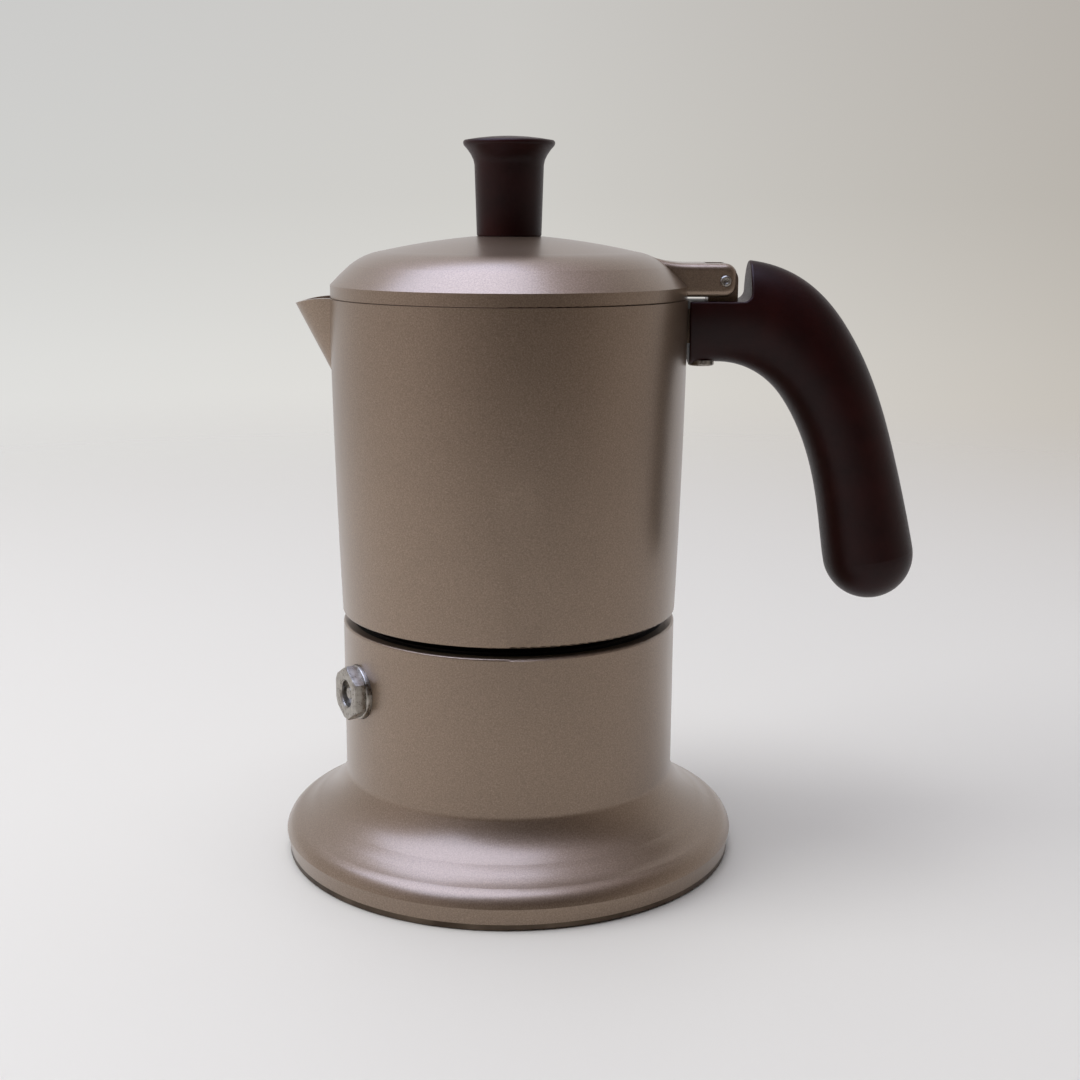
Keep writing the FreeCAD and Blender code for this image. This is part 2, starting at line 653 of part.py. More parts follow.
def make_lid():
    """Domed lid with a locating lip, and a forked arm that turns on the hinge pin."""
    dome = turned("lid_dome", [
        ("0", "mouth_level - lip_drop"),
        ("lip_radius", "mouth_level - lip_drop"),
        ("lip_radius", "mouth_level"),
        ("lid_radius - 0.3", "mouth_level"),
        ("lid_radius", "mouth_level + 0.3", "0.3"),
        ("lid_radius", "lid_edge"),
        ("lid_radius - 0.111 * lid_radius", "mouth_level + 0.53 * lid_rise", "1.5 * lid_radius"),
        ("lid_radius - 0.296 * lid_radius", "mouth_level + 0.765 * lid_rise", "0.38 * lid_radius"),
        ("knob_seat", "lid_top", "4.1 * lid_radius"),
        ("0", "lid_top"),
    ])
    hollow = turned("lid_hollow", [
        ("0", "mouth_level - lip_drop - 1"),
        ("lip_bore", "mouth_level - lip_drop - 1"),
        ("lip_bore", "lid_edge - lid_wall / 2"),
        ("lid_radius - 0.296 * lid_radius - lid_wall / 2", "mouth_level + 0.765 * lid_rise - lid_wall",
         "0.5 * lid_radius"),
        ("knob_seat", "lid_ceiling", "4.1 * lid_radius"),
        ("0", "lid_ceiling"),
    ])
    arm = slab("lid_arm", [
        ("0.75 * lid_radius", "hinge_level - arm_below"),
        ("arm_tip - arm_round", "hinge_level - arm_below"),
        ("arm_tip", "hinge_level - arm_below + arm_round", "arm_round"),
        ("arm_tip", "hinge_level + arm_above - arm_round"),
        ("arm_tip - arm_round", "hinge_level + arm_above", "arm_round"),
        ("lid_radius", "hinge_level + arm_above"),
        ("0.75 * lid_radius", "hinge_level + arm_above + arm_flow",
         "-((0.25 * lid_radius) ^ 2 + arm_flow ^ 2) / (2 * arm_flow)"),
    ], "arm_width")
    side, low = number("arm_width / 2"), number("hinge_level")
    arm = softened("lid_arm_rounded", arm, "arm_edge",
                   lambda middle: abs(abs(middle.y) - side) < 0.01 and middle.z > low)
    fork = block("arm_slot",
                 ("hinge_reach - lug_radius - slot_clear", "-lug_width / 2 - lug_play", "mouth_level - 5"),
                 ("arm_tip + 5", "lug_width / 2 + lug_play", "lid_top"))
    pin_hole = crosswise_rod("arm_hole", "hinge_pin_radius + slide_play", "arm_width + 4",
                             "hinge_reach", "hinge_level")
    screw_hole = primitive("Cylinder", "knob_screw_hole", ("0", "0", "lid_ceiling - 1"),
                           Radius="screw_radius + hole_play", Height="lid_wall + 2")
    blank = joined("lid_blank", dome, arm)
    finish("lid", less("lid", blank, hollow, fork, pin_hole, screw_hole))


def make_hinge_pin():
    """Steel rivet through the lid's fork and the pot's lug."""
    half = "arm_width / 2 + pin_proud"
    pin = turned("hinge_pin", [
        ("0", "-(%s)" % half),
        ("hinge_pin_radius - pin_proud", "-(%s)" % half),
        ("hinge_pin_radius", "pin_proud - (%s)" % half, "pin_proud"),
        ("hinge_pin_radius", half + " - pin_proud"),
        ("hinge_pin_radius - pin_proud", half, "pin_proud"),
        ("0", half),
    ])
    spot = Vector(number("hinge_reach"), 0, number("hinge_level"))
    pin.Placement = Placement(spot, Rotation(Vector(1, 0, 0), 90))
    finish("hinge_pin", pin)


def make_knob():
    """Flared knob, and the screw and washer that hold it from inside the lid."""
    top = "lid_top + knob_height - knob_dome"
    finish("lid_knob", turned("lid_knob", [
        ("screw_radius", "lid_top"),
        ("knob_foot", "lid_top"),
        ("knob_neck", "lid_top + knob_flare", "80 * knob_foot"),
        ("knob_rim", top + " - knob_edge * 2", "-(knob_height / 2.4)"),
        ("knob_rim", top + " - knob_edge"),
        ("knob_rim - knob_edge", top, "knob_edge"),
        ("0", "lid_top + knob_height", dome_radius("knob_rim - knob_edge", "knob_dome")),
        ("0", "lid_top + screw_grip"),
        ("screw_radius", "lid_top + screw_grip"),
    ]))
    finish("knob_washer", turned("knob_washer", [
        ("screw_radius + hole_play", "lid_ceiling - washer_thick"),
        ("washer_radius", "lid_ceiling - washer_thick"),
        ("washer_radius", "lid_ceiling"),
        ("screw_radius + hole_play", "lid_ceiling"),
    ]))
    head_top = "lid_ceiling - washer_thick"
    screw = turned("knob_screw_blank", [
        ("0", head_top + " - screw_head_thick"),
        ("screw_head * 0.7", head_top + " - screw_head_thick"),
        ("screw_head", head_top + " - screw_head_thick / 3", "screw_head"),
        ("screw_head", head_top),
        ("screw_radius", head_top),
        ("screw_radius", "lid_top + screw_grip"),
        ("0", "lid_top + screw_grip"),
    ])
    drive = block("knob_screw_drive", ("-screw_head", "-0.5", head_top + " - screw_head_thick - 1"),
                  ("screw_head", "0.5", head_top + " - screw_head_thick + 1"))
    finish("knob_screw", less("knob_screw", screw, drive))


# ---------------------------------------------------------------- handle

def grip_oval(name, reach, level, tilt, deep, wide):
    """One oval of the handle, square to the middle line, which dips below X by the tilt."""
    oval = primitive("Ellipse", name, (reach, "0", level), MajorRadius=deep, MinorRadius=wide)
    angle = math.radians(number(tilt))
    deepways = Vector(math.sin(angle), 0, math.cos(angle))
    back = Vector(-math.cos(angle), 0, math.sin(angle))
    oval.Placement.Rotation = Rotation(deepways, Vector(0, 1, 0), back, "ZXY")
    return oval


def make_handle():
    """Arched handle: a loft through ovals with a round end, notched for the hinge."""
    start = grip_oval("grip_0", "handle_start", "grip_1_z - 0.43 * toe_drop", "0",
                      "grip_1_deep + 0.57 * toe_drop", "grip_1_wide")
    stations = [start]
    for index in range(1, 6):
        base = "grip_%d_" % index
        stations.append(grip_oval("grip_%d" % index, base + "x", base + "z", base + "tilt",
                                  base + "deep", base + "wide"))
    stations.append(grip_oval("grip_6", "grip_6_x", "grip_6_z", "grip_6_tilt", "grip_6_deep",
                              "grip_6_deep"))
    arch = lofted("handle_arch", stations)
    end = primitive("Sphere", "handle_end", ("grip_6_x", "0", "grip_6_z"), Radius="grip_6_deep")
    end.Angle1 = -90
    end.Angle2 = 0
    end.Placement.Rotation = stations[-1].Placement.Rotation
    notch = slab("handle_notch", [
        ("handle_start - 5", "notch_level"),
        ("notch_end - notch_round", "notch_level"),
        ("notch_end", "notch_level + notch_round", "notch_round"),
        ("notch_end", "notch_level + 20"),
        ("handle_start - 5", "notch_level + 20"),
    ], "4 * grip_1_wide")
    socket = block("handle_socket", ("handle_start - 5", "-boss_width / 2 - lug_play", "boss_bottom"),
                   ("boss_reach + lug_play", "boss_width / 2 + lug_play", "boss_top"))
    lug_slot = block("handle_lug_slot",
                     ("hinge_reach - lug_radius - lug_play", "-lug_width / 2 - lug_play",
                      "boss_top - lug_width - lug_play"),
                     ("hinge_reach + lug_radius + lug_play", "lug_width / 2 + lug_play",
                      "notch_level + 1"))
    underside = "grip_1_z - grip_1_deep - toe_drop / 2"
    bolt_hole = primitive("Cylinder", "handle_bolt_hole", ("bolt_reach", "0", underside + " - 5"),
                          Radius="screw_radius + hole_play", Height="boss_bottom - (%s) + 6" % underside)
    sink = primitive("Cylinder", "handle_bolt_sink", ("bolt_reach", "0", underside + " - 5"),
                     Radius="bolt_head + 2 * hole_play", Height="5 + bolt_sunk + bolt_head_thick")
    saddle = primitive("Cylinder", "handle_saddle", ("0", "0", "rim_level"),
                       Radius="mouth_radius + handle_gap", Height="lid_top - rim_level")
    shaped = less("handle_shaped", joined("handle_blank", arch, end), notch, saddle)
    gap, level, back = (number(text) for text in ("mouth_radius + handle_gap", "notch_level", "notch_end"))
    smooth = softened("handle_rounded", shaped, "handle_edge", lambda middle: (
        abs(math.hypot(middle.x, middle.y) - gap) < 0.01
        or (middle.z > level - 0.01 and middle.x < back + 0.01)))
    finish("handle", less("handle", smooth, socket, lug_slot, bolt_hole, sink))
    head_face = underside + " + bolt_sunk"
    bolt = turned("handle_screw", [
        ("0", head_face),
        ("bolt_head - bolt_head_thick / 3", head_face),
        ("bolt_head", head_face + " + bolt_head_thick / 3", "bolt_head_thick / 3"),
        ("bolt_head", head_face + " + bolt_head_thick"),
        ("screw_radius", head_face + " + bolt_head_thick"),
        ("screw_radius", "boss_bottom + bolt_depth"),
        ("0", "boss_bottom + bolt_depth"),
    ])
    bolt.Placement = Placement(Vector(number("bolt_reach"), 0, 0), Rotation())
    finish("handle_screw", bolt)


# ---------------------------------------------------------------- build, test and write

def make_all():
    """Make each sub-part in turn, from the foot up."""
    make_boiler()
    make_valve()
    make_funnel()
    make_seal()
    make_pot()
    make_column()
    make_lid()
    make_hinge_pin()
    make_knob()
    make_handle()
    doc.recompute()


def test_all():
    """Stop if any object failed or any sub-part's shape is empty or broken."""
    for thing in doc.Objects:
        if "Invalid" in thing.State or "Error" in thing.State:
            raise RuntimeError("%s failed: %s" % (thing.Name, thing.State))
    for name, thing in parts.items():
        shape = thing.Shape
        if shape.isNull() or not shape.isValid() or len(shape.Solids) != 1:
            raise RuntimeError("%s is empty, broken or not one solid" % name)


def write_all():
    """Write each sub-part to its own file."""
    os.makedirs("parts", exist_ok=True)
    for name, thing in parts.items():
        thing.Shape.exportStep("parts/%s.step" % name)
        box = thing.Shape.BoundBox
        print("%-16s volume %9.1f  x %7.2f %7.2f  y %7.2f %7.2f  z %7.2f %7.2f" % (
            name, thing.Shape.Volume, box.XMin, box.XMax, box.YMin, box.YMax, box.ZMin, box.ZMax))


make_all()
test_all()
write_all()
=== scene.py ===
"""Moka pot: finishes, detailed pieces, studio and camera around the fixed frame."""

import json
import math

import bpy
from bpy.props import FloatProperty, FloatVectorProperty, PointerProperty
from mathutils import Matrix, Vector


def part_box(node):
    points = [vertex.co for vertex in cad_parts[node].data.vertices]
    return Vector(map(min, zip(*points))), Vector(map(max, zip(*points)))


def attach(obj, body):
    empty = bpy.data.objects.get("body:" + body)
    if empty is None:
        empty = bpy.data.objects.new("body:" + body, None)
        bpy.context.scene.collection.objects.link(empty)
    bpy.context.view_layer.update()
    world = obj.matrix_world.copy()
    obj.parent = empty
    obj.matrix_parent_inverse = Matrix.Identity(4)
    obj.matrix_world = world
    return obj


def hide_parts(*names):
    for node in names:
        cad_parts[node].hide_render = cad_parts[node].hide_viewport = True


bl_info = {
    "name": "Moka Pot",
    "version": (1, 0, 0),
    "blender": (4, 5, 0),
    "location": "View3D > Sidebar > Moka Pot",
    "description": "Finishes and details a moka pot on its engineering frame",
    "category": "Object",
}

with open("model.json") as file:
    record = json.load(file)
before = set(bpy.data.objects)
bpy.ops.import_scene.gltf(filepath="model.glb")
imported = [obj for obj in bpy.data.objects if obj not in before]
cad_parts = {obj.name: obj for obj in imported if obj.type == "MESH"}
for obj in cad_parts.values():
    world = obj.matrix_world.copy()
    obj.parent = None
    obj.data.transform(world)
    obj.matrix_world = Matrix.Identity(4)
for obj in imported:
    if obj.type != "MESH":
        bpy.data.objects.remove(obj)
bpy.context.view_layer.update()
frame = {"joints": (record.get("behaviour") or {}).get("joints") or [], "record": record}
MM = 0.001
THREAD_PITCH = 3.0  # mm
NECK_HEIGHT = 10.0  # mm
SIDES = 128
SHARP = math.radians(35)


# ------------------------------------------------------------------ colours and nodes

def linear(code):
    """An sRGB hex colour as the linear RGBA that a shader takes."""
    channels = [int(code[index:index + 2], 16) / 255 for index in (1, 3, 5)]
    return [c / 12.92 if c <= 0.04045 else ((c + 0.055) / 1.055) ** 2.4 for c in channels] + [1.0]


def add(tree, kind, inputs=None, **settings):
    """Add a node with its settings; an input is a value or the socket that feeds it."""
    node = tree.nodes.new(kind)
    for name, value in settings.items():
        setattr(node, name, value)
    for name, value in (inputs or {}).items():
        if isinstance(value, bpy.types.NodeSocket):
            tree.links.new(value, node.inputs[name])
        else:
            node.inputs[name].default_value = value
    return node


def stops(ramp, *points):
    """Set a colour ramp's stops, each a place and a hex colour or a grey level."""
    elements = ramp.color_ramp.elements
    while len(elements) < len(points):
        elements.new(1.0)
    for element, (place, tone) in zip(elements, points):
        element.position = place
        element.color = linear(tone) if isinstance(tone, str) else (tone, tone, tone, 1.0)
    return ramp


def blank(name):
    """A new material with only an output, and its tree and output."""
    material = bpy.data.materials.new(name)
    material.use_nodes = True
    tree = material.node_tree
    tree.nodes.clear()
    return material, tree, tree.nodes.new("ShaderNodeOutputMaterial")


def per_metre(millimetres):
    """A texture scale whose features are about that many millimetres apart."""
    return 1.0 / (millimetres * MM)


def screw_thread(tree, place, share):
    """A bump like a coarse screw thread around the pot's axis, where the share is 1."""
    parts = add(tree, "ShaderNodeSeparateXYZ", {0: place})
    angle = add(tree, "ShaderNodeMath", {0: parts.outputs["Y"], 1: parts.outputs["X"]}, operation="ARCTAN2")
    turns = add(tree, "ShaderNodeMath", {0: angle.outputs[0], 1: 2 * math.pi}, operation="DIVIDE")
    climbed = add(tree, "ShaderNodeMath", {0: parts.outputs["Z"], 1: per_metre(THREAD_PITCH)},
                  operation="MULTIPLY")
    phase = add(tree, "ShaderNodeMath", {0: climbed.outputs[0], 1: turns.outputs[0]}, operation="SUBTRACT")
    wave = add(tree, "ShaderNodeMath", {0: phase.outputs[0], 1: 0.5}, operation="PINGPONG")
    height = add(tree, "ShaderNodeMath", {0: wave.outputs[0], 1: share}, operation="MULTIPLY")
    return add(tree, "ShaderNodeBump", {"Height": height.outputs[0], "Strength": 1.0,
                                        "Distance": 0.5 * THREAD_PITCH * MM}).outputs["Normal"]


def bare_metal(tree, place, grain, dark, pale):
    """Turned aluminium left bare, for the insides of painted castings, with the thread of the neck. The
    boiler's is painted nearly black as painted shade.
    """
    neck_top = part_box("boiler_shell")[1][2]
    share = inside_of(tree, place, 1.0, neck_top - NECK_HEIGHT * MM, neck_top)
    tint = stops(add(tree, "ShaderNodeValToRGB", {"Fac": grain}), (0.3, dark), (0.7, pale))
    return add(tree, "ShaderNodeBsdfPrincipled", {
        "Base Color": tint.outputs["Color"], "Metallic": 1.0, "Roughness": 0.4,
        "Normal": screw_thread(tree, place, share)})


def inside_of(tree, place, radius, low, high):
    """1 nearer the pot's axis than the radius and between two levels, and 0 elsewhere."""
    flat = add(tree, "ShaderNodeVectorMath", {0: place, 1: (1, 1, 0)}, operation="MULTIPLY")
    reach = add(tree, "ShaderNodeVectorMath", {0: flat.outputs["Vector"]}, operation="LENGTH")
    level = add(tree, "ShaderNodeSeparateXYZ", {0: place}).outputs["Z"]
    near = add(tree, "ShaderNodeMath", {0: reach.outputs["Value"], 1: radius}, operation="LESS_THAN")
    over = add(tree, "ShaderNodeMath", {0: level, 1: low}, operation="GREATER_THAN")
    under = add(tree, "ShaderNodeMath", {0: level, 1: high}, operation="LESS_THAN")
    between = add(tree, "ShaderNodeMath", {0: over.outputs[0], 1: under.outputs[0]}, operation="MULTIPLY")
    return add(tree, "ShaderNodeMath", {0: near.outputs[0], 1: between.outputs[0]},
               operation="MULTIPLY").outputs[0]


def champagne_lacquer(node):
    """Satin metallic lacquer sprayed on cast aluminium.

    Aluminium flakes under a warm grey-brown tint give broad, soft highlights, the clear binder
    adds a gloss on top, and the spray leaves a slight orange peel and a fine sparkle. The insides
    of the boiler and the collector, and the screwed neck, are masked off, so they stay bare; the
    boiler's bare metal is painted nearly black, as painted shade in the gap under the collector.
    """
    material, tree, out = blank("_".join(filter(None, ("champagne_metallic_lacquer", node))))
    place = add(tree, "ShaderNodeTexCoord").outputs["Object"]
    flake = add(tree, "ShaderNodeTexNoise", {"Vector": place, "Scale": per_metre(0.3), "Detail": 2.0,
                                             "Roughness": 0.7})
    cloud = add(tree, "ShaderNodeTexNoise", {"Vector": place, "Scale": per_metre(22.0), "Detail": 3.0})
    peel = add(tree, "ShaderNodeTexNoise", {"Vector": place, "Scale": per_metre(1.6), "Detail": 1.0})
    tint = stops(add(tree, "ShaderNodeValToRGB", {"Fac": flake.outputs["Fac"]}),
                 (0.3, "#7f6c5a"), (0.5, "#8c7865"), (0.72, "#9c8875"))
    shade = stops(add(tree, "ShaderNodeValToRGB", {"Fac": cloud.outputs["Fac"]}), (0.3, 0.95), (0.7, 1.0))
    colour = add(tree, "ShaderNodeMix", {"Factor": 1.0, "A": tint.outputs["Color"],
                                         "B": shade.outputs["Color"]},
                 data_type="RGBA", blend_type="MULTIPLY")
    rough = add(tree, "ShaderNodeMapRange", {"Value": flake.outputs["Fac"], "From Min": 0.3,
                                             "From Max": 0.7, "To Min": 0.34, "To Max": 0.42})
    fine = add(tree, "ShaderNodeBump", {"Height": flake.outputs["Fac"], "Strength": 0.2,
                                        "Distance": 0.02 * MM})
    wave = add(tree, "ShaderNodeBump", {"Height": peel.outputs["Fac"], "Strength": 0.3,
                                        "Distance": 0.02 * MM, "Normal": fine.outputs["Normal"]})
    skin = add(tree, "ShaderNodeBsdfPrincipled", {
        "Base Color": colour.outputs["Result"], "Metallic": 0.78, "Roughness": rough.outputs["Result"],
        "Coat Weight": 0.8, "Coat Roughness": 0.27, "Normal": wave.outputs["Normal"]})
    if node not in MASKED:
        tree.links.new(skin.outputs["BSDF"], out.inputs["Surface"])
        return material
    zone, tones = MASKED[node]
    bare = bare_metal(tree, place, flake.outputs["Fac"], *tones)
    mask = inside_of(tree, place, *zone())
    mix = add(tree, "ShaderNodeMixShader", {0: mask, 1: skin.outputs["BSDF"], 2: bare.outputs["BSDF"]})
    tree.links.new(mix.outputs["Shader"], out.inputs["Surface"])
    return material


def cast_aluminium(node):
    """Bare aluminium, turned and then left bare: pale grey, with faint round tool marks."""
    material, tree, out = blank("bare_turned_aluminium")
    place = add(tree, "ShaderNodeTexCoord").outputs["Object"]
    rings = add(tree, "ShaderNodeTexWave", {"Vector": place, "Scale": per_metre(3.2), "Distortion": 0.6,
                                            "Detail": 2.0, "Detail Scale": 2.0},
                wave_type="RINGS", rings_direction="Z")
    grain = add(tree, "ShaderNodeTexNoise", {"Vector": place, "Scale": per_metre(0.8), "Detail": 3.0})
    tint = stops(add(tree, "ShaderNodeValToRGB", {"Fac": grain.outputs["Fac"]}),
                 (0.3, "#b4b3b0"), (0.7, "#cfcecb"))
    bump = add(tree, "ShaderNodeBump", {"Height": rings.outputs["Fac"], "Strength": 0.2,
                                        "Distance": 0.03 * MM})
    rough = add(tree, "ShaderNodeMapRange", {"Value": grain.outputs["Fac"], "To Min": 0.3, "To Max": 0.45})
    skin = add(tree, "ShaderNodeBsdfPrincipled", {
        "Base Color": tint.outputs["Color"], "Metallic": 1.0, "Roughness": rough.outputs["Result"],
        "Normal": bump.outputs["Normal"]})
    tree.links.new(skin.outputs["BSDF"], out.inputs["Surface"])
    return material


def worn_steel(node):
    """Stainless steel, machined and handled: grey, half bright, with small scuffs."""
    material, tree, out = blank("machined_stainless_steel")
    place = add(tree, "ShaderNodeTexCoord").outputs["Object"]
    scuff = add(tree, "ShaderNodeTexNoise", {"Vector": place, "Scale": per_metre(1.4), "Detail": 3.0,
                                             "Roughness": 0.6})
    tint = stops(add(tree, "ShaderNodeValToRGB", {"Fac": scuff.outputs["Fac"]}),
                 (0.35, "#8b857d"), (0.65, "#b4aea5"))
    rough = add(tree, "ShaderNodeMapRange", {"Value": scuff.outputs["Fac"], "From Min": 0.3,
                                             "From Max": 0.7, "To Min": 0.22, "To Max": 0.42})
    bump = add(tree, "ShaderNodeBump", {"Height": scuff.outputs["Fac"], "Strength": 0.2,
                                        "Distance": 0.01 * MM})
    skin = add(tree, "ShaderNodeBsdfPrincipled", {
        "Base Color": tint.outputs["Color"], "Metallic": 1.0, "Roughness": rough.outputs["Result"],
        "Normal": bump.outputs["Normal"]})
    tree.links.new(skin.outputs["BSDF"], out.inputs["Surface"])
    return material


def dark_resin(node):
    """Phenolic resin moulded in a grained tool: nearly black burgundy-brown, satin, finely pebbled."""
    material, tree, out = blank("moulded_phenolic_resin")
    place = add(tree, "ShaderNodeTexCoord").outputs["Object"]
    grain = add(tree, "ShaderNodeTexNoise", {"Vector": place, "Scale": per_metre(0.4), "Detail": 2.0})
    cloud = add(tree, "ShaderNodeTexNoise", {"Vector": place, "Scale": per_metre(9.0), "Detail": 4.0})
    tint = stops(add(tree, "ShaderNodeValToRGB", {"Fac": cloud.outputs["Fac"]}),
                 (0.3, "#1b0403"), (0.7, "#290907"))
    rough = add(tree, "ShaderNodeMapRange", {"Value": grain.outputs["Fac"], "From Min": 0.3,
                                             "From Max": 0.7, "To Min": 0.33, "To Max": 0.45})
    bump = add(tree, "ShaderNodeBump", {"Height": grain.outputs["Fac"], "Strength": 0.35,
                                        "Distance": 0.03 * MM})
    skin = add(tree, "ShaderNodeBsdfPrincipled", {
        "Base Color": tint.outputs["Color"], "Roughness": rough.outputs["Result"], "IOR": 1.5,
        "Specular IOR Level": 0.2, "Normal": bump.outputs["Normal"]})
    tree.links.new(skin.outputs["BSDF"], out.inputs["Surface"])
    return material


def gasket_rubber(node):
    """Moulded silicone rubber: dense, pale grey, matt, with a bloom of dust."""
    material, tree, out = blank("moulded_silicone_rubber")
    place = add(tree, "ShaderNodeTexCoord").outputs["Object"]
    bloom = add(tree, "ShaderNodeTexNoise", {"Vector": place, "Scale": per_metre(2.5), "Detail": 5.0})
    tint = stops(add(tree, "ShaderNodeValToRGB", {"Fac": bloom.outputs["Fac"]}),
                 (0.3, "#c9c5be"), (0.7, "#dcd9d3"))
    bump = add(tree, "ShaderNodeBump", {"Height": bloom.outputs["Fac"], "Strength": 0.3,
                                        "Distance": 0.05 * MM})
    skin = add(tree, "ShaderNodeBsdfPrincipled", {
        "Base Color": tint.outputs["Color"], "Roughness": 0.6, "IOR": 1.42,
        "Normal": bump.outputs["Normal"]})
    tree.links.new(skin.outputs["BSDF"], out.inputs["Surface"])
    return material


def base_steel(node):
    """Mild steel plate bonded under the base for induction hobs: satin, painted dark brown as painted shade
    for the strip under the base, which lies in shadow.
    """
    material, tree, out = blank("shade_darkened_mild_steel")
    place = add(tree, "ShaderNodeTexCoord").outputs["Object"]
    shade_mottle = add(tree, "ShaderNodeTexNoise", {"Vector": place, "Scale": per_metre(6.0), "Detail": 4.0})
    # Painted shade: these dark browns stand in for the shadow on the strip under the base; the noise only
    # mottles them.
    tint = stops(add(tree, "ShaderNodeValToRGB", {"Fac": shade_mottle.outputs["Fac"]}),
                 (0.3, "#4a3f35"), (0.7, "#6a5d50"))
    skin = add(tree, "ShaderNodeBsdfPrincipled", {
        "Base Color": tint.outputs["Color"], "Metallic": 1.0, "Roughness": 0.45})
    tree.links.new(skin.outputs["BSDF"], out.inputs["Surface"])
    return material


FINISHES = {
    "painted_aluminium": champagne_lacquer,
    "cast_aluminium": cast_aluminium,
    "steel_sheet": base_steel,
    "bright_steel": worn_steel,
    "dark_plastic": dark_resin,
    "seal_rubber": gasket_rubber,
}


def neck_zone():
    """The boiler's bare zone: its inside and the neck that the collector screws on to."""
    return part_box("boiler_gasket")[1][1] + 2.0 * MM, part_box("boiler_shell")[0][2], 1.0


def barrel_zone():
    """The collector's bare zone: all that is well inside its wall."""
    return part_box("lid")[1][1] - 2.2 * MM, 0.0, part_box("hinge_pin")[0][2] - 3.0 * MM


# Where each masked node is bare, and the darkest and palest tone of its metal. The boiler's is painted
# nearly black, as painted shade that keeps the gap under the collector dark; its bare metal is pale.
MASKED = {"boiler_shell": (neck_zone, ("#1d1b19", "#2d2a27")),
          "upper_pot": (barrel_zone, ("#8d8b88", "#a9a7a3"))}


# ------------------------------------------------------------------ settings

class MokaStage(bpy.types.PropertyGroup):
    """Where the camera stands and how bright the studio is."""
    camera_back: FloatProperty(name="Camera back", description="Distance in front of the pot's axis",
                               default=0.3600, unit="LENGTH")
    camera_up: FloatProperty(name="Camera up", description="Height above the table",
                             default=0.1498, unit="LENGTH")
    camera_dip: FloatProperty(name="Camera dip", description="Tilt below the horizon",
                              default=math.radians(11.91), subtype="ANGLE")
    camera_turn: FloatProperty(name="Camera turn", description="Turn towards the handle",
                               default=math.radians(1.16), subtype="ANGLE")
    camera_roll: FloatProperty(name="Camera roll", description="Roll about the line of sight",
                               default=math.radians(0.26), subtype="ANGLE")
    lens: FloatProperty(name="Lens", description="Focal length in millimetres on a 36 mm sensor",
                        default=52.05)
    paper: FloatVectorProperty(name="Paper", description="Colour of the backdrop paper", size=3,
                               default=linear("#e1e2e0")[:3], subtype="COLOR")
    key_power: FloatProperty(name="Key light", description="Power of the window in watts",
                             default=6.5)


class MokaDetail(bpy.types.PropertyGroup):
    """Sizes of the pieces that are modelled here."""
    nut_across: FloatProperty(name="Nut across flats", description="Width of the relief valve's nut",
                              default=11.0 * MM, unit="LENGTH")
    nut_thick: FloatProperty(name="Nut thickness", description="Thickness of the relief valve's nut",
                             default=2.5 * MM, unit="LENGTH")
    nut_face: FloatProperty(name="Nut face", description="Distance of the nut's face from the pot's axis",
                            default=42.3 * MM, unit="LENGTH")
    nut_bore: FloatProperty(name="Nut bore", description="Radius of the hole that the pin shows in",
                            default=3.0 * MM, unit="LENGTH")
    shank_radius: FloatProperty(name="Valve shank", description="Radius of the valve's screwed shank",
                                default=4.0 * MM, unit="LENGTH")
    shank_length: FloatProperty(name="Shank length", description="Length of the shank under the nut",
                                default=6.2 * MM, unit="LENGTH")
    soft_edge: FloatProperty(name="Soft edge", description="Rounding of moulded and pressed edges",
                             default=0.35 * MM, unit="LENGTH")
    gasket_width: FloatProperty(name="Gasket width", description="Width of the gasket's ring",
                                default=6.3 * MM, unit="LENGTH")


# ------------------------------------------------------------------ modelling by hand

def turned(name, stations):
    """A round closed piece about Z: a circle extruded from station to station (radius, level)."""
    (radius, level), *rest = stations
    bpy.ops.object.select_all(action="DESELECT")
    bpy.ops.mesh.primitive_circle_add(vertices=SIDES, radius=radius, location=(0, 0, level))
    piece = bpy.context.object
    piece.name = name
    bpy.ops.object.mode_set(mode="EDIT")
    bpy.ops.mesh.select_all(action="SELECT")
    for next_radius, next_level in rest:
        bpy.ops.mesh.extrude_region_move(TRANSFORM_OT_translate={"value": (0, 0, next_level - level)})
        share = next_radius / radius
        bpy.ops.transform.resize(value=(share, share, 1))
        radius, level = next_radius, next_level
    bpy.ops.mesh.select_all(action="SELECT")
    bpy.ops.mesh.remove_doubles(threshold=0.001 * MM)
    bpy.ops.mesh.fill_holes(sides=0)
    bpy.ops.mesh.select_all(action="SELECT")
    bpy.ops.mesh.normals_make_consistent(inside=False)
    bpy.ops.object.mode_set(mode="OBJECT")
    settle(piece)
    return piece


def alone(piece):
    """Select only this piece."""
    bpy.ops.object.select_all(action="DESELECT")
    piece.select_set(True)
    bpy.context.view_layer.objects.active = piece


def settle(piece):
    """Put a piece's place, turn and scale into its mesh."""
    alone(piece)
    bpy.ops.object.transform_apply(location=True, rotation=True, scale=True)


def soften(piece, width, segments=3):
    """Round the piece's sharp edges and shade it smooth."""
    alone(piece)
    bevel = piece.modifiers.new("soft_edges", "BEVEL")
    bevel.width = width
    bevel.segments = segments
    bevel.limit_method = "ANGLE"
    bevel.angle_limit = SHARP
    bpy.ops.object.modifier_apply(modifier=bevel.name)
    bpy.ops.object.shade_smooth_by_angle(angle=SHARP)


def carve(piece, tool, operation):
    """Combine the piece with a tool, which is then deleted."""
    alone(piece)
    cut = piece.modifiers.new("carve", "BOOLEAN")
    cut.object = tool
    cut.operation = operation
    cut.solver = "EXACT"
    bpy.ops.object.modifier_apply(modifier=cut.name)
    bpy.data.objects.remove(tool)


def hand_over(piece, body, node):
    """Ride the piece on its body in place of a node, with the node's finish."""
    piece.data.materials.clear()
    piece.data.materials.append(bpy.data.objects[node].material_slots[0].material)
    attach(piece, body)
    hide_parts(node)


# ------------------------------------------------------------------ operators

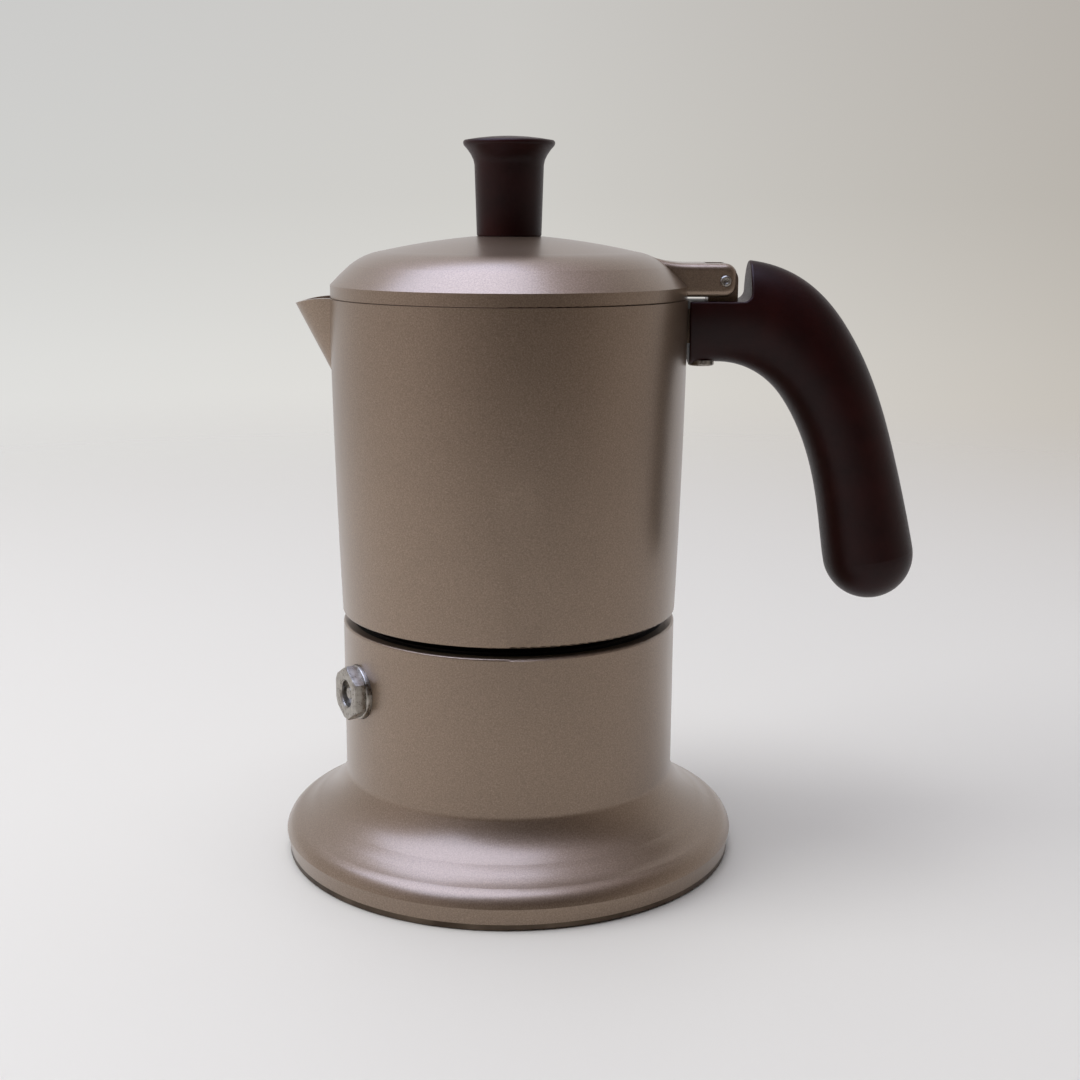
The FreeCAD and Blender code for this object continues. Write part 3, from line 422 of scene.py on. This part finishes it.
class MOKA_OT_finishes(bpy.types.Operator):
    """Give every node of the frame its finish"""
    bl_idname = "moka.finishes"
    bl_label = "Finishes"

    def execute(self, context):
        made = {}
        for part in frame["record"]["subparts"]:
            name, finish = part["node"], FINISHES[part["material_slot"]]
            key = (finish, name if name in MASKED else "")
            if key not in made:
                made[key] = finish(key[1])
            for slot in bpy.data.objects[name].material_slots:
                slot.material = made[key]
        return {"FINISHED"}


class MOKA_OT_knob(bpy.types.Operator):
    """Lid knob with a flared neck, a soft rim and a slightly domed top"""
    bl_idname = "moka.knob"
    bl_label = "Knob"

    def execute(self, context):
        low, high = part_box("lid_knob")
        foot, top, rim = low[2], high[2], high[0]
        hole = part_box("knob_screw")[1][2]
        bore, ankle, neck = 0.2 * rim, 0.71 * rim, 0.757 * rim
        flare_rise = 0.2 * (top - foot)
        flare_foot = foot + 0.714 * (top - foot)
        dome, edge, band = 0.9 * MM, 0.4 * MM, 0.2 * MM
        brow = top - dome
        stations = [(bore, hole), (bore, foot), (ankle, foot), (neck, flare_foot)]
        for share in (0.25, 0.5, 0.75):
            stations.append((neck + (rim - neck) * share ** 1.7, flare_foot + flare_rise * share))
        stations += [(rim, flare_foot + flare_rise), (rim, brow - band), (rim - edge, brow)]
        for share in (0.75, 0.5, 0.25, 0.05):
            stations.append(((rim - edge) * share, top - dome * share ** 2))
        knob = turned("turned_knob", stations)
        soften(knob, context.scene.moka_detail.soft_edge)
        hand_over(knob, "lid_group", "lid_knob")
        return {"FINISHED"}


class MOKA_OT_valve(bpy.types.Operator):
    """Relief valve's hexagonal nut, chamfered and bored, on its hollow shank"""
    bl_idname = "moka.valve"
    bl_label = "Valve nut"

    def execute(self, context):
        sizes = context.scene.moka_detail
        across, face = sizes.nut_across, sizes.nut_face
        foot = face - sizes.nut_thick
        bpy.ops.object.select_all(action="DESELECT")
        bpy.ops.mesh.primitive_cylinder_add(
            vertices=6, radius=across / math.sqrt(3), depth=sizes.nut_thick,
            location=(0, 0, (foot + face) / 2), rotation=(0, 0, math.radians(30)))
        nut = bpy.context.object
        nut.name = "valve_nut"
        settle(nut)

        core, washer, bevel, clear = 0.1 * across, 0.5 * across, 0.53 * across, 0.59 * across
        form = turned("nut_form", [
            (core, foot - MM), (washer, foot - MM), (bevel, foot), (clear, foot + 0.3 * MM),
            (clear, face - 0.6 * MM), (bevel, face), (bevel, face + MM), (core, face + MM)])
        carve(nut, form, "INTERSECT")

        radius, end = sizes.shank_radius, foot - sizes.shank_length
        shank = turned("nut_shank", [
            (0.9 * radius, end), (radius, end), (radius, foot + MM), (0.9 * radius, foot + MM)])
        carve(nut, shank, "UNION")

        hole, lead = sizes.nut_bore, 0.4 * MM
        seat = end + 1.5 * MM
        bore = turned("nut_bore", [
            (0.4 * hole, end - sizes.shank_length), (0.4 * hole, seat), (hole, seat),
            (hole, face - lead), (hole + lead, face), (hole + lead, face + MM)])
        carve(nut, bore, "DIFFERENCE")
        soften(nut, 0.12 * MM, 2)

        pin = next(joint for joint in frame["joints"] if joint["name"] == "relief_pin_slide")
        out = Vector(pin["axis"]).normalized()
        low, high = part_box("valve_pin")
        nut.rotation_euler = (0, math.pi / 2, math.atan2(out.y, out.x))
        nut.location = (0, 0, (low[2] + high[2]) / 2)
        settle(nut)
        hand_over(nut, "boiler", "valve_body")
        return {"FINISHED"}


class MOKA_OT_rivet(bpy.types.Operator):
    """Hinge rivet with a dimple in each end"""
    bl_idname = "moka.rivet"
    bl_label = "Hinge rivet"

    def execute(self, context):
        low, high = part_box("hinge_pin")
        radius, half = (high[0] - low[0]) / 2, (high[1] - low[1]) / 2
        dimple, lip, chamfer = 0.35 * MM, 0.05 * MM, 0.25 * MM
        end = [(0.4 * radius, half - dimple), (0.48 * radius, half - lip), (0.75 * radius, half),
               (radius, half - chamfer)]
        rivet = turned("hinge_rivet", end + [(reach, -level) for reach, level in reversed(end)])
        soften(rivet, 0.05 * MM, 2)
        rivet.rotation_euler = (math.pi / 2, 0, 0)
        rivet.location = ((low[0] + high[0]) / 2, 0, (low[2] + high[2]) / 2)
        settle(rivet)
        hand_over(rivet, "collector", "hinge_pin")
        return {"FINISHED"}


class MOKA_OT_gasket(bpy.types.Operator):
    """Soft-edged gasket with a shallow groove pressed into its top"""
    bl_idname = "moka.gasket"
    bl_label = "Gasket"

    def execute(self, context):
        sizes = context.scene.moka_detail
        low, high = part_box("boiler_gasket")
        outer, foot, top = high[1], low[2], high[2]
        inner = outer - sizes.gasket_width
        step, groove = sizes.gasket_width / 6, 0.4 * MM
        gasket = turned("moulded_gasket", [
            (inner, foot), (outer, foot), (outer, top), (outer - 2 * step, top),
            (outer - 2.5 * step, top - groove), (inner + 2.5 * step, top - groove),
            (inner + 2 * step, top), (inner, top), (inner, foot)])
        soften(gasket, sizes.soft_edge)
        hand_over(gasket, "gasket", "boiler_gasket")
        return {"FINISHED"}


class MOKA_OT_stage(bpy.types.Operator):
    """Lay the paper, set the lights and place the camera"""
    bl_idname = "moka.stage"
    bl_label = "Stage"

    def execute(self, context):
        settings = context.scene.moka_stage
        self.lay_paper(settings)
        self.light_world(context.scene)
        self.set_lamps(settings)
        self.place_camera(context.scene, settings)
        return {"FINISHED"}

    def lay_paper(self, settings):
        """A pale floor that fades out far from the pot, so that no horizon shows."""
        bpy.ops.mesh.primitive_circle_add(vertices=96, radius=6.0, fill_type="NGON", location=(0, 0, 0))
        floor = bpy.context.object
        floor.name = "studio_floor"
        material, tree, out = blank("backdrop_paper")
        place = add(tree, "ShaderNodeTexCoord").outputs["Object"]
        tooth = add(tree, "ShaderNodeTexNoise", {"Vector": place, "Scale": per_metre(1.2), "Detail": 2.0})
        bump = add(tree, "ShaderNodeBump", {"Height": tooth.outputs["Fac"], "Strength": 0.1,
                                            "Distance": 0.05 * MM})
        paper = add(tree, "ShaderNodeBsdfPrincipled", {
            "Base Color": [*settings.paper, 1.0], "Roughness": 0.55, "Normal": bump.outputs["Normal"]})
        away = add(tree, "ShaderNodeVectorMath", {0: place}, operation="LENGTH")
        fade = add(tree, "ShaderNodeMapRange", {"Value": away.outputs["Value"], "From Min": 0.2,
                                                "From Max": 1.0}, interpolation_type="SMOOTHSTEP")
        clear = add(tree, "ShaderNodeBsdfTransparent")
        mix = add(tree, "ShaderNodeMixShader", {0: fade.outputs["Result"], 1: paper.outputs["BSDF"],
                                                2: clear.outputs["BSDF"]})
        tree.links.new(mix.outputs["Shader"], out.inputs["Surface"])
        floor.data.materials.append(material)

    def light_world(self, scene):
        """A room that is dark in front, and pale at its sides, behind the pot and overhead.

        The camera itself sees a pale backdrop in the room's place, with painted light and shade: paler on
        the left and low down, darker to the right and higher up.
        """
        world = bpy.data.worlds.new("studio_room")
        world.use_nodes = True
        tree = world.node_tree
        tree.nodes.clear()
        out = tree.nodes.new("ShaderNodeOutputWorld")
        way = add(tree, "ShaderNodeTexCoord").outputs["Generated"]
        parts = add(tree, "ShaderNodeSeparateXYZ", {0: way})
        across = add(tree, "ShaderNodeMapRange", {"Value": parts.outputs["X"], "From Min": -1.0})
        side = stops(add(tree, "ShaderNodeValToRGB", {"Fac": across.outputs["Result"]}),
                     (0.0, "#c9c4c4"), (0.22, "#8f8784"), (0.45, "#443a33"), (0.7, "#3b322c"),
                     (0.88, "#6e645d"), (1.0, "#b4ada9"))
        depth = add(tree, "ShaderNodeMapRange", {"Value": parts.outputs["Y"], "From Min": -0.1,
                                                 "From Max": 0.6}, interpolation_type="SMOOTHSTEP")
        walls = add(tree, "ShaderNodeMix", {"Factor": depth.outputs["Result"], "A": side.outputs["Color"],
                                            "B": linear("#d3d1d1")}, data_type="RGBA")
        height = add(tree, "ShaderNodeMapRange", {"Value": parts.outputs["Z"], "From Min": 0.7,
                                                  "From Max": 0.97}, interpolation_type="SMOOTHSTEP")
        room = add(tree, "ShaderNodeMix", {"Factor": height.outputs["Result"], "A": walls.outputs["Result"],
                                           "B": linear("#dcd8e6")}, data_type="RGBA")
        seen = add(tree, "ShaderNodeLightPath").outputs["Is Camera Ray"]
        rise = add(tree, "ShaderNodeMapRange", {"Value": parts.outputs["Z"], "From Min": -0.2,
                                                "From Max": 0.12})
        # Painted light and shade on the backdrop: paler low down and on the left, where the window is,
        # darker higher up and to the right.
        wall = stops(add(tree, "ShaderNodeValToRGB", {"Fac": rise.outputs["Result"]}),
                     (0.0, "#e7e6e4"), (0.35, "#dededc"), (0.65, "#d1d1cf"), (1.0, "#cccccb"))
        falloff = stops(add(tree, "ShaderNodeValToRGB", {"Fac": add(
            tree, "ShaderNodeMapRange", {"Value": parts.outputs["X"], "From Min": -0.35,
                                         "From Max": 0.35}).outputs["Result"]}),
            (0.0, "#ffffff"), (0.5, "#fdfbf8"), (1.0, "#e2dcd5"))
        backdrop = add(tree, "ShaderNodeMix", {"Factor": 1.0, "A": wall.outputs["Color"],
                                               "B": falloff.outputs["Color"]},
                       data_type="RGBA", blend_type="MULTIPLY")
        shown = add(tree, "ShaderNodeMix", {"Factor": seen, "A": room.outputs["Result"],
                                            "B": backdrop.outputs["Result"]}, data_type="RGBA")
        glow = add(tree, "ShaderNodeBackground", {"Color": shown.outputs["Result"], "Strength": 1.0})
        tree.links.new(glow.outputs["Background"], out.inputs["Surface"])
        scene.world = world

    def set_lamps(self, settings):
        """A window and a ceiling that aren't reflected, and a cool sheen that is only reflected."""
        power = settings.key_power
        window = self.lamp("window", (-0.95, -0.15, 0.6), (0, 0, 0.06), 0.8, power, "#fffdfa")
        window.visible_glossy = False
        ceiling = self.lamp("ceiling", (-0.12, -0.12, 1.3), (0, 0, 0.05), 0.9, power, "#fffdfa")
        ceiling.visible_glossy = False
        sheen = self.lamp("sheen", (-0.38, -0.12, 1.22), (0, 0, 0.05), 1.3, 3.3 * power, "#c4d6ff")
        sheen.visible_diffuse = False

    def lamp(self, name, place, aim, size, power, tone):
        """A square soft light that faces a point."""
        bpy.ops.object.light_add(type="AREA", location=place)
        lamp = bpy.context.object
        lamp.name = name
        lamp.data.size = size
        lamp.data.energy = power
        lamp.data.color = linear(tone)[:3]
        lamp.rotation_euler = (Vector(aim) - Vector(place)).to_track_quat("-Z", "Y").to_euler()
        return lamp

    def place_camera(self, scene, settings):
        """A camera in front of the pot, a little above it, turned, dipped and rolled."""
        dip, turn, roll = settings.camera_dip, settings.camera_turn, settings.camera_roll
        level = Vector((math.sin(turn), math.cos(turn), 0))
        ahead = level * math.cos(dip) - Vector((0, 0, math.sin(dip)))
        right = Vector((math.cos(turn), -math.sin(turn), 0))
        up = right.cross(ahead)
        across = right * math.cos(roll) + up * math.sin(roll)
        above = up * math.cos(roll) - right * math.sin(roll)
        matrix = Matrix((across, above, -ahead)).transposed().to_4x4()
        matrix.translation = (0, -settings.camera_back, settings.camera_up)
        bpy.ops.object.camera_add()
        camera = bpy.context.object
        camera.name = "studio_camera"
        camera.matrix_world = matrix
        camera.data.lens = settings.lens
        camera.data.sensor_width = 36.0
        camera.data.clip_start = 0.01
        scene.camera = camera


class MOKA_PT_panel(bpy.types.Panel):
    """Buttons for the pot's pieces, in the order they are made"""
    bl_label = "Moka Pot"
    bl_space_type = "VIEW_3D"
    bl_region_type = "UI"
    bl_category = "Moka Pot"

    def draw(self, context):
        for operator in OPERATORS:
            self.layout.operator(operator.bl_idname)
        for group in (context.scene.moka_detail, context.scene.moka_stage):
            for name in type(group).__annotations__:
                self.layout.prop(group, name)


OPERATORS = (MOKA_OT_finishes, MOKA_OT_knob, MOKA_OT_valve, MOKA_OT_rivet, MOKA_OT_gasket, MOKA_OT_stage)
CLASSES = (MokaDetail, MokaStage, *OPERATORS, MOKA_PT_panel)


def register():
    """Register the classes and hang the settings on the scene."""
    for item in CLASSES:
        bpy.utils.register_class(item)
    bpy.types.Scene.moka_detail = PointerProperty(type=MokaDetail)
    bpy.types.Scene.moka_stage = PointerProperty(type=MokaStage)


def unregister():
    """Undo what register did."""
    del bpy.types.Scene.moka_stage
    del bpy.types.Scene.moka_detail
    for item in reversed(CLASSES):
        bpy.utils.unregister_class(item)


def main():
    """Make everything in order."""
    register()
    bpy.context.scene.view_settings.view_transform = "Standard"
    bpy.ops.moka.finishes()
    bpy.ops.moka.knob()
    bpy.ops.moka.valve()
    bpy.ops.moka.rivet()
    bpy.ops.moka.gasket()
    bpy.ops.moka.stage()


if __name__ == "__main__":
    main()
